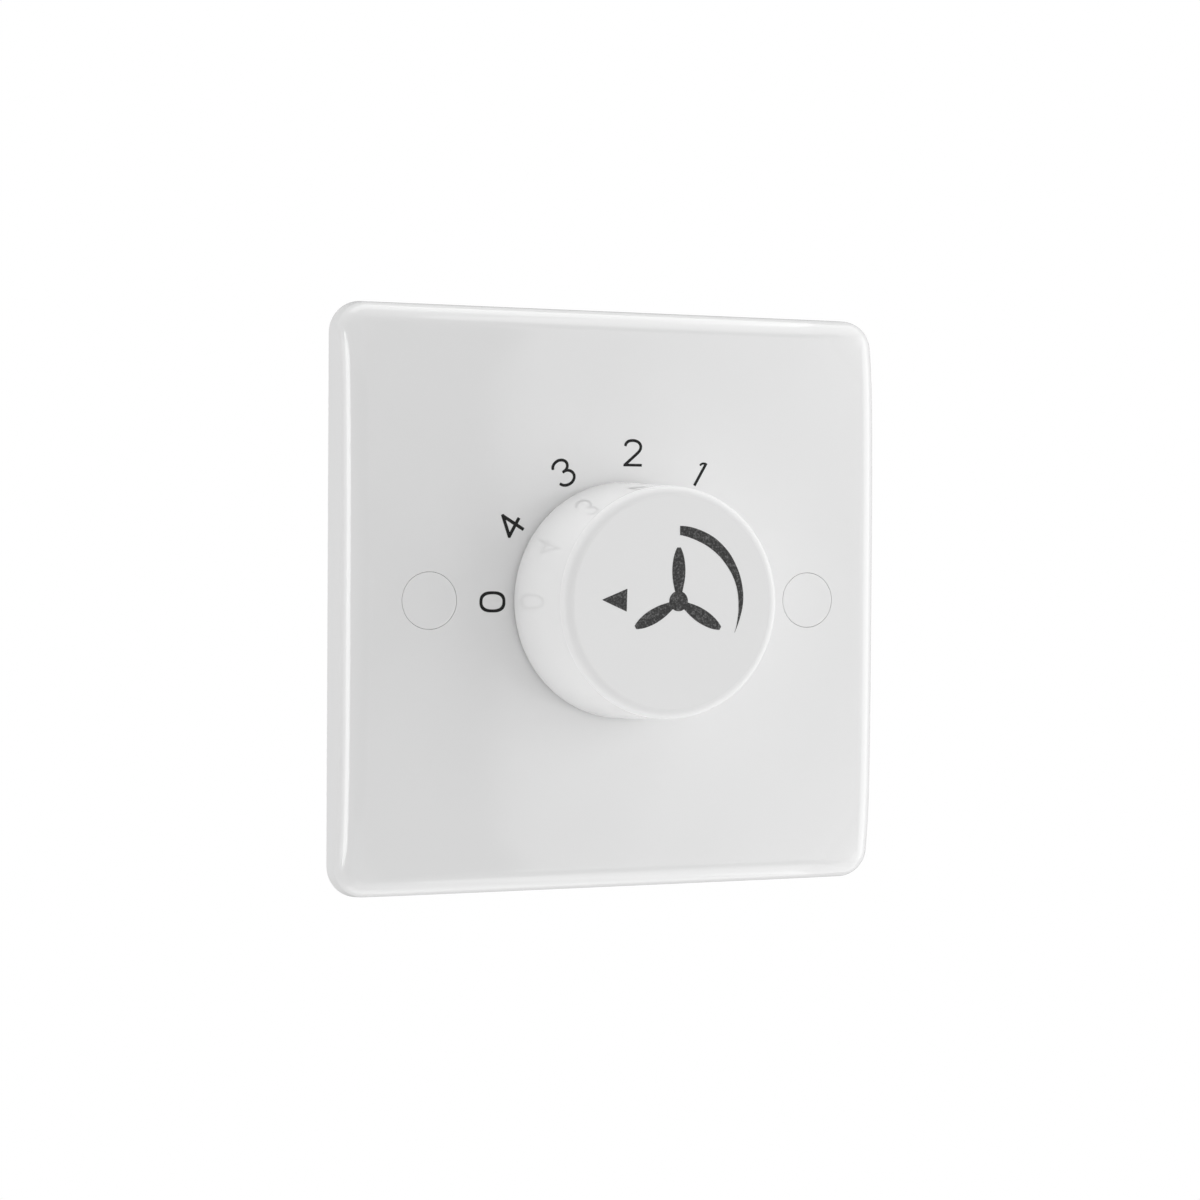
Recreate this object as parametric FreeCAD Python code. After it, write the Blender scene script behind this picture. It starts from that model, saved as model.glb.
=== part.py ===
import FreeCAD, Part
import math
import os

# Wall-mounted five-position rotary fan speed control on a single-gang plate.
# Millimetres. The wall plane is Y = 0, the front faces -Y, +Z is up and +X is to the right as seen from the front.
# The origin is the middle of the plate's back, on the line between the two fixing screws.

# ---------------------------------------------------------------- driving dimensions
plate_half = 43.0          # half the side of the square plate at the wall
plate_corner_r = 4.7       # plan radius of the corners at the wall
plate_draft = 0.1039       # inset of the side walls per mm of height
plate_h = 7.55             # height of the front face over the wall
plate_edge_r = 3.7         # rolled front edge
turn_r1, turn_big = 38.5, 150.0    # the front is flat inside turn_r1, then turns down on a large radius
turn_r2, turn_small = 49.0, 30.0   # and outside turn_r2, towards the corners, on a smaller one
skin = 2.5                 # thickness of the face
wall_t = 2.2               # thickness of the side walls

fix_x = 30.15              # half the distance between the fixing screws (60.3 mm)
cap_r = 4.05               # screw cap disc
recess_r = 4.19            # recess that the cap sits in
recess_floor = 3.3         # height of the recess floor over the wall
fix_boss_r = 5.6
fix_boss_y = -1.0          # back end of the bosses

knob_base_r = 17.41
knob_base_y = -7.9
knob_front_r = 16.43
knob_front_y = -25.4
knob_edge_r = 1.3
knob_wall = 1.9
knob_face_t = 2.0

spindle_r = 3.0
d_flat = 1.5               # distance of the spindle's flat from its axis
bushing_r = 4.5            # outside of the collar's thread
bushing_front_y = -11.6
switch_front_y = -(plate_h - skin)
switch_half = 16.0
switch_rear_y = 6.95
wafer_t = 1.6
index_deg = 30.0           # one click
travel_deg = 120.0         # 0, 4, 3, 2, 1

board_y0, board_t = 9.2, 1.6
case_hx, case_hz, case_t = 24.0, 29.0, 1.8
case_rear_y = 26.0
case_front_y = -1.0
case_screw_x, case_screw_z = 14.0, 32.2
term_x = (-9.0, 0.0, 9.0)
term_bore_y = 15.6
term_bore_r = 2.0

V = FreeCAD.Vector
YAX = V(0, 1, 0)
os.makedirs("parts", exist_ok=True)


# ---------------------------------------------------------------- helpers
def cyl(r, y0, y1, x=0.0, z=0.0):
    return Part.makeCylinder(r, y1 - y0, V(x, y0, z), YAX)


def cone(r0, r1, y0, y1, x=0.0, z=0.0):
    return Part.makeCone(r0, r1, y1 - y0, V(x, y0, z), YAX)


def box(x0, x1, y0, y1, z0, z1):
    return Part.makeBox(x1 - x0, y1 - y0, z1 - z0, V(x0, y0, z0))


def rrect(hx, hz, r, y, cx=0.0, cz=0.0):
    k = r * (1 - math.sqrt(0.5))
    e = []

    def p(x, z):
        return V(cx + x, y, cz + z)

    e.append(Part.makeLine(p(-hx + r, hz), p(hx - r, hz)))
    e.append(Part.Arc(p(hx - r, hz), p(hx - k, hz - k), p(hx, hz - r)).toShape())
    e.append(Part.makeLine(p(hx, hz - r), p(hx, -hz + r)))
    e.append(Part.Arc(p(hx, -hz + r), p(hx - k, -hz + k), p(hx - r, -hz)).toShape())
    e.append(Part.makeLine(p(hx - r, -hz), p(-hx + r, -hz)))
    e.append(Part.Arc(p(-hx + r, -hz), p(-hx + k, -hz + k), p(-hx, -hz + r)).toShape())
    e.append(Part.makeLine(p(-hx, -hz + r), p(-hx, hz - r)))
    e.append(Part.Arc(p(-hx, hz - r), p(-hx + k, hz - k), p(-hx + r, hz)).toShape())
    return Part.Wire(e)


def rprism(hx, hz, r, y0, y1, cx=0.0, cz=0.0):
    return Part.Face(rrect(hx, hz, r, y0, cx, cz)).extrude(V(0, y1 - y0, 0))


def tapered(h0, r0, y0, h1, r1, y1):
    return Part.makeLoft([rrect(h0, h0, r0, y0), rrect(h1, h1, r1, y1)], True, True)


def turned(points):
    # closed outline of (radius, y) pairs, turned about the Y axis
    w = Part.makePolygon([V(r, y, 0) for r, y in points] + [V(points[0][0], points[0][1], 0)])
    return Part.Face(w).revolve(V(0, 0, 0), YAX, 360)


def polar(r, deg, y):
    a = math.radians(deg)
    return V(r * math.cos(a), y, r * math.sin(a))


def sector(r0, r1, a0, a1, y0, y1):
    am = (a0 + a1) / 2
    w = Part.Wire([
        Part.makeLine(polar(r0, a0, y0), polar(r1, a0, y0)),
        Part.Arc(polar(r1, a0, y0), polar(r1, am, y0), polar(r1, a1, y0)).toShape(),
        Part.makeLine(polar(r1, a1, y0), polar(r0, a1, y0)),
        Part.Arc(polar(r0, a1, y0), polar(r0, am, y0), polar(r0, a0, y0)).toShape(),
    ])
    return Part.Face(w).extrude(V(0, y1 - y0, 0))


def strip(pts, t):
    # outline of a bent strip of thickness t along a line of 2-D points
    n = len(pts)
    up, dn = [], []
    for i in range(n):
        a = pts[max(0, i - 1)]
        b = pts[min(n - 1, i + 1)]
        dx, dy = b[0] - a[0], b[1] - a[1]
        if 0 < i < n - 1:
            d0 = (pts[i][0] - a[0], pts[i][1] - a[1])
            d1 = (b[0] - pts[i][0], b[1] - pts[i][1])
            l0, l1 = math.hypot(*d0), math.hypot(*d1)
            dx, dy = d0[0] / l0 + d1[0] / l1, d0[1] / l0 + d1[1] / l1
            half = math.sqrt(max(0.0, (1 + (d0[0] * d1[0] + d0[1] * d1[1]) / (l0 * l1)) / 2))
        else:
            half = 1.0
        m = math.hypot(dx, dy)
        nx, ny = -dy / m, dx / m
        s = t / 2 / half
        up.append((pts[i][0] + nx * s, pts[i][1] + ny * s))
        dn.append((pts[i][0] - nx * s, pts[i][1] - ny * s))
    return up + dn[::-1]


def front_edges(shape, y_max, reach):
    # the loop where the side walls meet the front
    out = []
    for e in shape.Edges:
        if all(v.Point.y < y_max for v in e.Vertexes):
            m = e.valueAt((e.FirstParameter + e.LastParameter) / 2)
            if m.y < y_max and max(abs(m.x), abs(m.z)) > reach:
                out.append(e)
    return out


def moulded_puck(face_y, r_out, floor_y):
    # front of the plate, turned about the Y axis: a flat disc, then two tangent arcs that turn it down to the corners
    a0 = math.asin((turn_r2 - turn_r1) / turn_big)
    y2 = face_y + turn_big * (1 - math.cos(a0))
    am = a0 / 2
    m1 = V(turn_r1 + turn_big * math.sin(am), face_y + turn_big * (1 - math.cos(am)), 0)
    cx, cy = turn_r2 - turn_small * math.sin(a0), y2 + turn_small * math.cos(a0)
    a1 = math.asin((r_out - cx) / turn_small)
    am = (a0 + a1) / 2
    m2 = V(cx + turn_small * math.sin(am), cy - turn_small * math.cos(am), 0)
    p0, p1, p2 = V(0, face_y, 0), V(turn_r1, face_y, 0), V(turn_r2, y2, 0)
    p3 = V(r_out, cy - turn_small * math.cos(a1), 0)
    w = Part.Wire([Part.makeLine(p0, p1), Part.Arc(p1, m1, p2).toShape(), Part.Arc(p2, m2, p3).toShape(), Part.makeLine(p3, V(r_out, floor_y, 0)), Part.makeLine(V(r_out, floor_y, 0), V(0, floor_y, 0)), Part.makeLine(V(0, floor_y, 0), p0)])
    s = Part.Face(w).revolve(V(0, 0, 0), YAX, 360)
    s.rotate(V(0, 0, 0), YAX, 22.0)
    return s


def save(name, shape):
    solids = shape.Solids
    if len(solids) == 1:
        shape = solids[0]
    elif len(solids) > 1:
        shape = Part.makeCompound(solids)
    ok = shape.isValid()
    print("%-20s solids %d faces %4d volume %10.2f valid %s" % (name, len(solids), len(shape.Faces), shape.Volume, ok))
    if not ok or shape.Volume <= 0:
        raise RuntimeError(name + " is not a valid solid")
    shape.exportStep("parts/" + name + ".step")


# ---------------------------------------------------------------- face plate
def make_face_plate():
    y_far = -(plate_h + 1.2)
    prism = tapered(plate_half, plate_corner_r, 0.0, plate_half + plate_draft * y_far, plate_corner_r + plate_draft * y_far, y_far)
    outer = prism.common(moulded_puck(-plate_h, 62.0, 1.0))
    loop = front_edges(outer, -2.0, 38.0)
    outer = outer.makeFillet(plate_edge_r, loop)

    ih = plate_half - wall_t
    ir = plate_corner_r - wall_t + 0.6
    y_in = -(plate_h - skin) - 1.0
    inner = tapered(ih + plate_draft * 1.0, ir + plate_draft, 1.0, ih + plate_draft * y_in, ir + plate_draft * y_in, y_in)
    inner = inner.common(moulded_puck(-(plate_h - skin), 62.0, 2.0))
    inner_loop = front_edges(inner, -0.6, 36.0)
    inner = inner.makeFillet(1.6, inner_loop)
    plate = outer.cut(inner)

    floor_y = -(plate_h - skin)
    adds = []
    for sx in (-1, 1):
        adds.append(cyl(fix_boss_r, -5.3, fix_boss_y, sx * fix_x, 0))
        # ribs that tie each fixing boss to the side wall and up and down the plate
        adds.append(box(min(sx * 34.5, sx * 41.2), max(sx * 34.5, sx * 41.2), -5.3, -1.6, -0.7, 0.7))
        for sz in (-1, 1):
            z0, z1 = sorted((sz * 4.6, sz * 41.0))
            adds.append(box(sx * fix_x - 0.6, sx * fix_x + 0.6, -5.3, -3.9, z0, z1))
            adds.append(cyl(3.0, -5.3, case_front_y, sx * case_screw_x, sz * case_screw_z))
            z0, z1 = sorted((sz * 34.6, sz * 41.0))
            adds.append(box(sx * case_screw_x - 0.6, sx * case_screw_x + 0.6, -5.3, -2.4, z0, z1))
    for sz in (-1, 1):
        z0, z1 = sz * 37.2 - 0.6, sz * 37.2 + 0.6
        adds.append(box(-41.0, 41.0, -5.3, -3.9, z0, z1))
    body_limit = prism.common(moulded_puck(-plate_h + 0.9, 62.0, 1.0))
    for a in adds:
        plate = plate.fuse(a.common(body_limit))
    cuts = []
    for sx in (-1, 1):
        cuts.append(cyl(recess_r, -9.0, -recess_floor, sx * fix_x, 0))
        cuts.append(cyl(2.05, -5.0, 1.0, sx * fix_x, 0))
        cuts.append(cone(3.35, 2.05, -recess_floor - 0.001, -recess_floor + 1.3, sx * fix_x, 0))
        for sz in (-1, 1):
            cuts.append(cyl(1.47, -6.05, 1.0, sx * case_screw_x, sz * case_screw_z))
    cuts.append(cyl(bushing_r + 0.08, -9.0, 0.0))
    cuts.append(cyl(1.3, -6.6, 0.0, 0.0, -10.6))   # locating hole for the switch's peg
    for c in cuts:
        plate = plate.cut(c)
    return plate.removeSplitter()


# ---------------------------------------------------------------- screw caps
def make_cap(x):
    disc = cyl(cap_r, -plate_h, -plate_h + 1.1, x, 0)
    disc = disc.makeFillet(0.16, [e for e in disc.Edges if abs(e.BoundBox.YMin + plate_h) < 1e-4 and abs(e.BoundBox.YMax + plate_h) < 1e-4])
    skirt = cyl(3.85, -plate_h + 1.0, -4.55, x, 0).cut(cyl(3.25, -plate_h + 0.5, -4.0, x, 0))
    # three slots split the skirt into spring fingers
    for k in range(3):
        a = 30 + 120 * k
        slot = box(0.0, 6.0, -plate_h + 1.1, -4.0, -0.6, 0.6)
        slot.rotate(V(0, 0, 0), YAX, a)
        slot.translate(V(x, 0, 0))
        skirt = skirt.cut(slot)
    # snap bead on each finger
    bead = cone(3.85, 4.14, -5.6, -5.1, x, 0).fuse(cone(4.14, 3.85, -5.1, -4.7, x, 0)).cut(cyl(3.6, -6.0, -4.0, x, 0))
    keep = None
    for k in range(3):
        a = 30 + 120 * k
        w = sector(2.0, 6.0, a - 22, a + 22, -6.2, -4.4)
        w.translate(V(x, 0, 0))
        keep = w if keep is None else keep.fuse(w)
    return disc.fuse(skirt).fuse(bead.common(keep)).removeSplitter()


# ---------------------------------------------------------------- fixing screw
def make_fixing_screw(x):
    # raised countersunk M3.5 x 25: plain neck under the head, thread to the major diameter
    head = cone(3.25, 1.55, -recess_floor, -recess_floor + 1.7, x, 0)
    dome = Part.makeSphere(5.6, V(x, -recess_floor + 4.55, 0)).common(cyl(3.25, -recess_floor - 1.2, -recess_floor + 0.001, x, 0))
    neck = cyl(1.55, -recess_floor + 1.0, -0.7, x, 0)
    thread = cyl(1.75, -0.8, 20.6, x, 0)
    tip = cone(1.75, 1.25, 20.6, 21.2, x, 0)
    s = head.fuse(dome).fuse(neck).fuse(thread).fuse(tip)
    s = s.cut(box(x - 4, x + 4, -5.0, -recess_floor + 0.35, -0.45, 0.45))
    return s.removeSplitter()


# ---------------------------------------------------------------- knob
def make_knob():
    body = cone(knob_front_r, knob_base_r, knob_front_y, knob_base_y)
    rim = [e for e in body.Edges if abs(e.BoundBox.YMin - knob_front_y) < 1e-3 and abs(e.BoundBox.YMax - knob_front_y) < 1e-3]
    body = body.makeFillet(knob_edge_r, rim)
    foot = [e for e in body.Edges if abs(e.BoundBox.YMin - knob_base_y) < 1e-3 and abs(e.BoundBox.YMax - knob_base_y) < 1e-3]
    body = body.makeFillet(0.25, foot)
    y_in = knob_front_y + knob_face_t
    hollow = cone(knob_front_r - knob_wall - 0.2, knob_base_r - knob_wall, y_in, knob_base_y + 0.01)
    top = [e for e in hollow.Edges if abs(e.BoundBox.YMin - y_in) < 1e-3 and abs(e.BoundBox.YMax - y_in) < 1e-3]
    hollow = hollow.makeFillet(1.0, top)
    body = body.cut(hollow)
    hub = cyl(5.6, y_in - 0.5, -12.8)
    ribs = None
    for k in range(6):
        r = box(5.0, 15.4, y_in - 0.5, -14.6, -0.6, 0.6)
        r.rotate(V(0, 0, 0), YAX, 30 + 60 * k)
        ribs = r if ribs is None else ribs.fuse(r)
    # the ribs slope down towards the wall
    slope = turned([(4.9, -24.4), (15.9, -24.4), (15.9, -18.5), (5.6, -14.6), (4.9, -14.6)])
    outer_limit = cone(knob_front_r - 0.8, knob_base_r - 0.8, knob_front_y, knob_base_y).common(cyl(30, knob_front_y + 0.8, 0))
    ribs = ribs.common(slope).common(outer_limit)
    body = body.fuse(hub).fuse(ribs)
    bore = cyl(spindle_r + 0.03, -23.2, -12.0)
    bore = bore.cut(box(-5, 5, -24, -11, d_flat + 0.34, 6))
    body = body.cut(bore)
    # slot for the clip's bent end
    body = body.cut(box(-2.15, 2.15, -13.25, -12.0, d_flat, 3.9))
    return body.removeSplitter()


def make_knob_clip():
    leaf = box(-2.05, 2.05, -22.4, -12.95, d_flat + 0.02, d_flat + 0.30)
    tab = box(-2.05, 2.05, -13.2, -12.9, d_flat + 0.02, 3.75)
    window = box(-1.0, 1.0, -20.6, -16.4, d_flat - 1, d_flat + 1)
    return leaf.fuse(tab).cut(window).removeSplitter()


# ---------------------------------------------------------------- spindle and its collar
def make_spindle():
    main = turned([(0, -22.95), (2.6, -22.95), (3.0, -22.55), (3.0, -12.32), (2.5, -12.32), (2.5, -11.62), (3.0, -11.62), (3.0, -1.75), (4.3, -1.75), (4.3, -1.0), (3.0, -1.0), (3.0, 5.2), (1.5, 5.2), (1.5, 8.1), (1.2, 8.4), (0, 8.4)])
    front_cut = box(-5, 5, -24, -12.7, d_flat, 5)
    rear_cut = box(-5, 5, -0.99, 5.21, 2.0, 5).fuse(box(-5, 5, -0.99, 5.21, -5, -2.0))
    return main.cut(front_cut).cut(rear_cut).removeSplitter()


def make_circlip():
    ring = cyl(4.7, -12.27, -11.67).cut(cyl(2.56, -13, -11))
    return ring.cut(box(-1.9, 1.9, -13, -11, -6, 0)).removeSplitter()


def make_bushing():
    b = turned([(3.05, bushing_front_y), (4.2, bushing_front_y), (bushing_r, bushing_front_y + 0.3), (bushing_r, switch_front_y), (7.0, switch_front_y), (7.0, -3.8), (5.0, -3.8), (5.0, -1.9), (3.05, -1.9)])
    # two flats on the collar's flange stop it turning in the switch body
    return b.cut(box(6.2, 8, -6, -3, -8, 8)).cut(box(-8, -6.2, -6, -3, -8, 8)).removeSplitter()


def make_nut():
    pts = [polar(12.0 / math.sqrt(3), 60 * k, -10.25) for k in range(7)]
    hexa = Part.Face(Part.makePolygon(pts)).extrude(V(0, 2.2, 0))
    chamfer = turned([(0, -10.25), (6.05, -10.25), (6.95, -9.75), (6.95, -8.55), (6.05, -8.05), (0, -8.05)])
    return hexa.common(chamfer).cut(cyl(bushing_r + 0.02, -11, -7)).removeSplitter()


def make_washer():
    w = cyl(7.6, -8.05, -plate_h).cut(cyl(4.75, -9, -7))
    for k in range(12):
        t = box(5.2, 6.4, -9, -7, -0.45, 0.45)
        t.rotate(V(0, 0, 0), YAX, 30 * k + 15)
        slot = box(4.0, 5.6, -9, -7, -0.28, 0.28)
        slot.rotate(V(0, 0, 0), YAX, 30 * k + 15)
        w = w.cut(t).cut(slot)
    return w.removeSplitter()


# ---------------------------------------------------------------- rotary switch
LUG = 330.0                 # where the rotor's stop lug stands in the off position
LUG_HALF = 8.0


def make_switch_body():
    b = rprism(switch_half, switch_half, 3.0, switch_front_y, switch_rear_y)
    peg = cyl(1.2, switch_front_y - 1.45, switch_front_y + 0.5, 0, -10.6)
    b = b.fuse(peg)
    flange = cyl(7.02, switch_front_y - 1.0, -3.8).cut(box(6.22, 8, -7, -3, -8, 8)).cut(box(-8, -6.22, -7, -3, -8, 8))
    b = b.cut(flange)
    b = b.cut(cyl(5.0, -5, 0))
    cavity = cyl(13.4, -1.9, switch_rear_y + 1)
    pocket = box(-10.2, 10.2, 1.0, switch_rear_y + 1, 8.0, 14.4).fuse(box(-11.5, 11.5, 1.0, switch_rear_y + 1, 12.8, 13.5))
    b = b.cut(cavity.fuse(pocket))
    stops = sector(11.3, 13.8, LUG + LUG_HALF + 0.4, LUG + LUG_HALF + 12, -2.2, 1.0)
    low = LUG - travel_deg
    stops2 = sector(11.3, 13.8, low - LUG_HALF - 12, low - LUG_HALF - 0.4, -2.2, 1.0)
    b = b.fuse(stops).fuse(stops2)
    for sx in (-1, 1):
        for sz in (-1, 1):
            b = b.cut(cyl(0.92, 1.4, switch_rear_y + 1, sx * 13.6, sz * 13.6))
    return b.removeSplitter()


def make_switch_screws():
    out = []
    for sx in (-1, 1):
        for sz in (-1, 1):
            x, z = sx * 13.6, sz * 13.6
            s = cyl(0.9, 1.6, 8.6, x, z).fuse(cyl(1.7, 8.55, 9.1, x, z))
            s = s.cut(box(x - 2, x + 2, 8.85, 9.3, z - 0.2, z + 0.2))
            out.append(s.removeSplitter())
    return Part.makeCompound(out)


def make_rotor():
    # 12-lobed detent star behind a plain disc with the stop lug
    n = 144
    pts = []
    for i in range(n):
        a = 360.0 * i / n
        r = 9.55 + 0.45 * math.cos(math.radians(12 * (a - 75)))
        pts.append(polar(r, a, 1.2))
    c = Part.BSplineCurve()
    c.interpolate(pts, True)
    star = Part.Face(Part.Wire([c.toShape()])).extrude(V(0, 3.2, 0))
    disc = cyl(8.9, -0.9, 1.25)
    lug = sector(8.0, 12.9, LUG - LUG_HALF, LUG + LUG_HALF, -0.9, 0.85)
    hub = cyl(5.2, -0.95, 4.4)
    s = star.fuse(disc).fuse(lug).fuse(hub)
    # lightening recesses in the star's rear face and the two-flat drive hole
    hole = cyl(3.03, -2, 6).cut(box(-5, 5, -2, 6, 2.02, 5)).cut(box(-5, 5, -2, 6, -5, -2.02))
    s = s.cut(hole)
    return s.removeSplitter()


def make_detent_spring():
    pts = [(-11.3, 13.15), (-9.4, 13.15), (-3.6, 12.25), (-2.0, 11.0), (-1.25, 9.95), (-0.65, 9.5), (0, 9.34), (0.65, 9.5), (1.25, 9.95), (2.0, 11.0), (3.6, 12.25), (9.4, 13.15), (11.3, 13.15)]
    o = strip(pts, 0.25)
    w = Part.makePolygon([V(x, 1.5, z) for x, z in o] + [V(o[0][0], 1.5, o[0][1])])
    return Part.Face(w).extrude(V(0, 2.6, 0))


def make_wiper():
    plate = cyl(6.4, 4.42, 4.82).cut(cyl(3.12, 4, 6).cut(box(-5, 5, 3, 7, 2.06, 5)).cut(box(-5, 5, 3, 7, -5, -2.06)))
    arms = []
    line = [(5.4, 4.62), (7.2, 4.62), (9.2, 5.98), (9.75, 6.18), (10.3, 6.18), (10.9, 5.9)]
    o = strip(line, 0.38)
    for a in (180.0, 0.0):
        # two narrow fingers in each arm
        for z0, z1 in ((-1.5, -0.2), (0.2, 1.5)):
            w = Part.makePolygon([V(x, y, z0) for x, y in o] + [V(o[0][0], o[0][1], z0)])
            f = Part.Face(w).extrude(V(0, 0, z1 - z0))
            f.rotate(V(0, 0, 0), YAX, -a)
            arms.append(f)
    s = plate
    for f in arms:
        s = s.fuse(f)
    for a in (90, 270):
        s = s.cut(cyl(0.5, 4, 6, 4.9 * math.cos(math.radians(a)), 4.9 * math.sin(math.radians(a))))
    return s.removeSplitter()


CONTACT_ANGLES = (180.0, 150.0, 120.0, 90.0, 60.0)
COMMON_A0, COMMON_A1 = -130.0, 8.0


def tag(a, extra=0.0):
    t = box(9.3 - extra, 10.7 + extra, 6.6, 10.6 + extra * 30, -0.3 - extra, 0.3 + extra)
    t.rotate(V(0, 0, 0), YAX, -a)
    return t


def make_contacts():
    out = []
    for a in CONTACT_ANGLES:
        out.append(sector(8.5, 11.4, a - 9, a + 9, 6.42, switch_rear_y).fuse(tag(a)).removeSplitter())
    out.append(sector(8.5, 11.4, COMMON_A0, COMMON_A1, 6.42, switch_rear_y).fuse(tag(-60.0)).removeSplitter())
    return Part.makeCompound(out)


def make_wafer():
    w = rprism(switch_half, switch_half, 3.0, switch_rear_y, switch_rear_y + wafer_t)
    w = w.cut(cyl(1.55, 6, 10))
    for a in CONTACT_ANGLES + (-60.0,):
        w = w.cut(tag(a, 0.04))
    for sx in (-1, 1):
        for sz in (-1, 1):
            w = w.cut(cyl(1.0, 6, 10, sx * 13.6, sz * 13.6))
    return w.removeSplitter()


# ---------------------------------------------------------------- circuit board and what it carries
LEADS = []                  # (x, z, r) of every lead through the board
board_y1 = board_y0 + board_t
lead_end = 8.72


def lead(x, z, r, y_top):
    LEADS.append((x, z, r))
    return cyl(r, lead_end, y_top, x, z)


def make_box_capacitor(x0, x1, z0, z1, y1, pitch):
    y0 = board_y1 + 0.25
    b = box(x0, x1, y0, y1, z0, z1)
    long_edges = [e for e in b.Edges if not (abs(e.BoundBox.YMin - y0) < 1e-6 and abs(e.BoundBox.YMax - y0) < 1e-6)]
    b = b.makeFillet(0.8, long_edges)
    cx, cz = (x0 + x1) / 2, (z0 + z1) / 2
    for s in (-1, 1):
        b = b.fuse(lead(cx + s * pitch / 2, cz, 0.4, y0 + 0.5))
        # small moulded feet keep the case off the board
        b = b.fuse(box(cx + s * (pitch / 2 - 3.0) - 1.0, cx + s * (pitch / 2 - 3.0) + 1.0, board_y1, y0 + 0.2, cz - 1.5, cz + 1.5))
    return b.removeSplitter()


def bent_lead(xa, xb, z, y, r):
    # one axial lead: out of the body, round a bend and down through the board
    s = 1 if xb > xa else -1
    b = 1.2
    p0, p1 = V(xa, y, z), V(xb - s * b, y, z)
    k = b * (1 - math.sqrt(0.5))
    pm = V(xb - s * k, y - k, z)
    p2 = V(xb, y - b, z)
    w = Part.Wire([Part.makeLine(p0, p1), Part.Arc(p1, pm, p2).toShape(), Part.makeLine(p2, V(xb, lead_end, z))])
    prof = Part.Wire([Part.makeCircle(r, p0, V(s, 0, 0))])
    LEADS.append((xb, z, r))
    return w.makePipeShell([prof], True, True)


def make_axial(cx, z, body_len, body_r, pitch, r_lead, barrel):
    y = board_y1 + body_r + 0.2
    h = body_len / 2
    if barrel:
        pts = [(-h, 0), (-h, body_r * 0.8), (-h + 0.5, body_r), (-h + 1.7, body_r), (-h + 2.2, body_r * 0.86), (h - 2.2, body_r * 0.86), (h - 1.7, body_r), (h - 0.5, body_r), (h, body_r * 0.8), (h, 0)]
    else:
        pts = [(-h, 0), (-h, body_r - 0.3), (-h + 0.3, body_r), (h - 0.8, body_r), (h, body_r * 0.55), (h, 0)]
    w = Part.makePolygon([V(a, b, 0) for a, b in pts] + [V(pts[0][0], pts[0][1], 0)])
    b = Part.Face(w).revolve(V(0, 0, 0), V(1, 0, 0), 360)
    b.translate(V(cx, y, z))
    for s in (-1, 1):
        b = b.fuse(bent_lead(cx + s * (h - 0.3), cx + s * pitch / 2, z, y, r_lead))
    return b.removeSplitter()


def make_cement_resistor():
    x0, x1, z0, z1 = -17.0, 3.0, -7.4, 0.2
    b = box(x0, x1, board_y1 + 0.1, board_y1 + 7.4, z0, z1)
    b = b.makeFillet(0.5, b.Edges)
    cz = (z0 + z1) / 2
    for x in (x0 + 2.5, x1 - 2.5):
        b = b.fuse(lead(x, cz, 0.4, board_y1 + 1.0))
    return b.removeSplitter()


# terminal block: moulded housing along the bottom edge, wires from below, screws from behind
TB_X, TB_Y0, TB_Y1, TB_Z0, TB_Z1 = 14.0, board_y1, case_rear_y, -29.0, -16.0
CL_HX, CL_Y0, CL_Y1, CL_Z0, CL_Z1 = 3.0, 12.3, 20.6, -28.0, -18.4


def make_terminal_block():
    b = box(-TB_X, TB_X, TB_Y0, TB_Y1, TB_Z0, TB_Z1)
    b = b.makeFillet(0.5, [e for e in b.Edges if e.BoundBox.YMax > TB_Y1 - 1e-6])
    for x in term_x:
        b = b.cut(box(x - CL_HX, x + CL_HX, CL_Y0, CL_Y1, CL_Z0, TB_Z1 + 1))
        b = b.cut(cyl(2.75, CL_Y1 - 0.5, TB_Y1 + 1, x, (CL_Z0 + CL_Z1) / 2))
        b = b.cut(Part.makeCylinder(2.35, 3, V(x, term_bore_y, TB_Z0 - 1), V(0, 0, 1)))
        b = b.cut(Part.makeCone(2.95, 2.35, 0.6, V(x, term_bore_y, TB_Z0 - 0.001), V(0, 0, 1)))
        b = b.cut(cyl(0.75, TB_Y0 - 1, CL_Y0 + 1, x, (CL_Z0 + CL_Z1) / 2))
    # finger grooves between the ways on the rear face
    for x in (-4.5, 4.5):
        b = b.cut(box(x - 0.5, x + 0.5, TB_Y1 - 1.2, TB_Y1 + 1, TB_Z0 - 1, TB_Z1 + 1))
    return b.removeSplitter()


def make_clamps():
    out = []
    for x in term_x:
        c = box(x - CL_HX, x + CL_HX, CL_Y0, CL_Y1, CL_Z0, CL_Z1)
        c = c.cut(Part.makeCylinder(term_bore_r, CL_Z1 - CL_Z0 - 1.2, V(x, term_bore_y, CL_Z0), V(0, 0, 1)))
        c = c.cut(cyl(1.75, term_bore_y, CL_Y1 + 1, x, (CL_Z0 + CL_Z1) / 2))
        c = c.fuse(lead(x, (CL_Z0 + CL_Z1) / 2, 0.6, CL_Y0 + 0.2))
        out.append(c.removeSplitter())
    return Part.makeCompound(out)


def make_terminal_screws():
    out = []
    z = (CL_Z0 + CL_Z1) / 2
    for x in term_x:
        s = cone(1.35, 1.74, 17.75, 18.2, x, z).fuse(cyl(1.74, 18.2, 22.6, x, z)).fuse(cyl(2.6, 22.5, 24.6, x, z))
        head = [e for e in s.Edges if abs(e.BoundBox.YMin - 24.6) < 1e-6 and abs(e.BoundBox.YMax - 24.6) < 1e-6]
        s = s.makeFillet(0.3, head)
        s = s.cut(box(x - 3, x + 3, 23.5, 25, z - 0.4, z + 0.4))
        out.append(s.removeSplitter())
    return Part.makeCompound(out)


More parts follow.
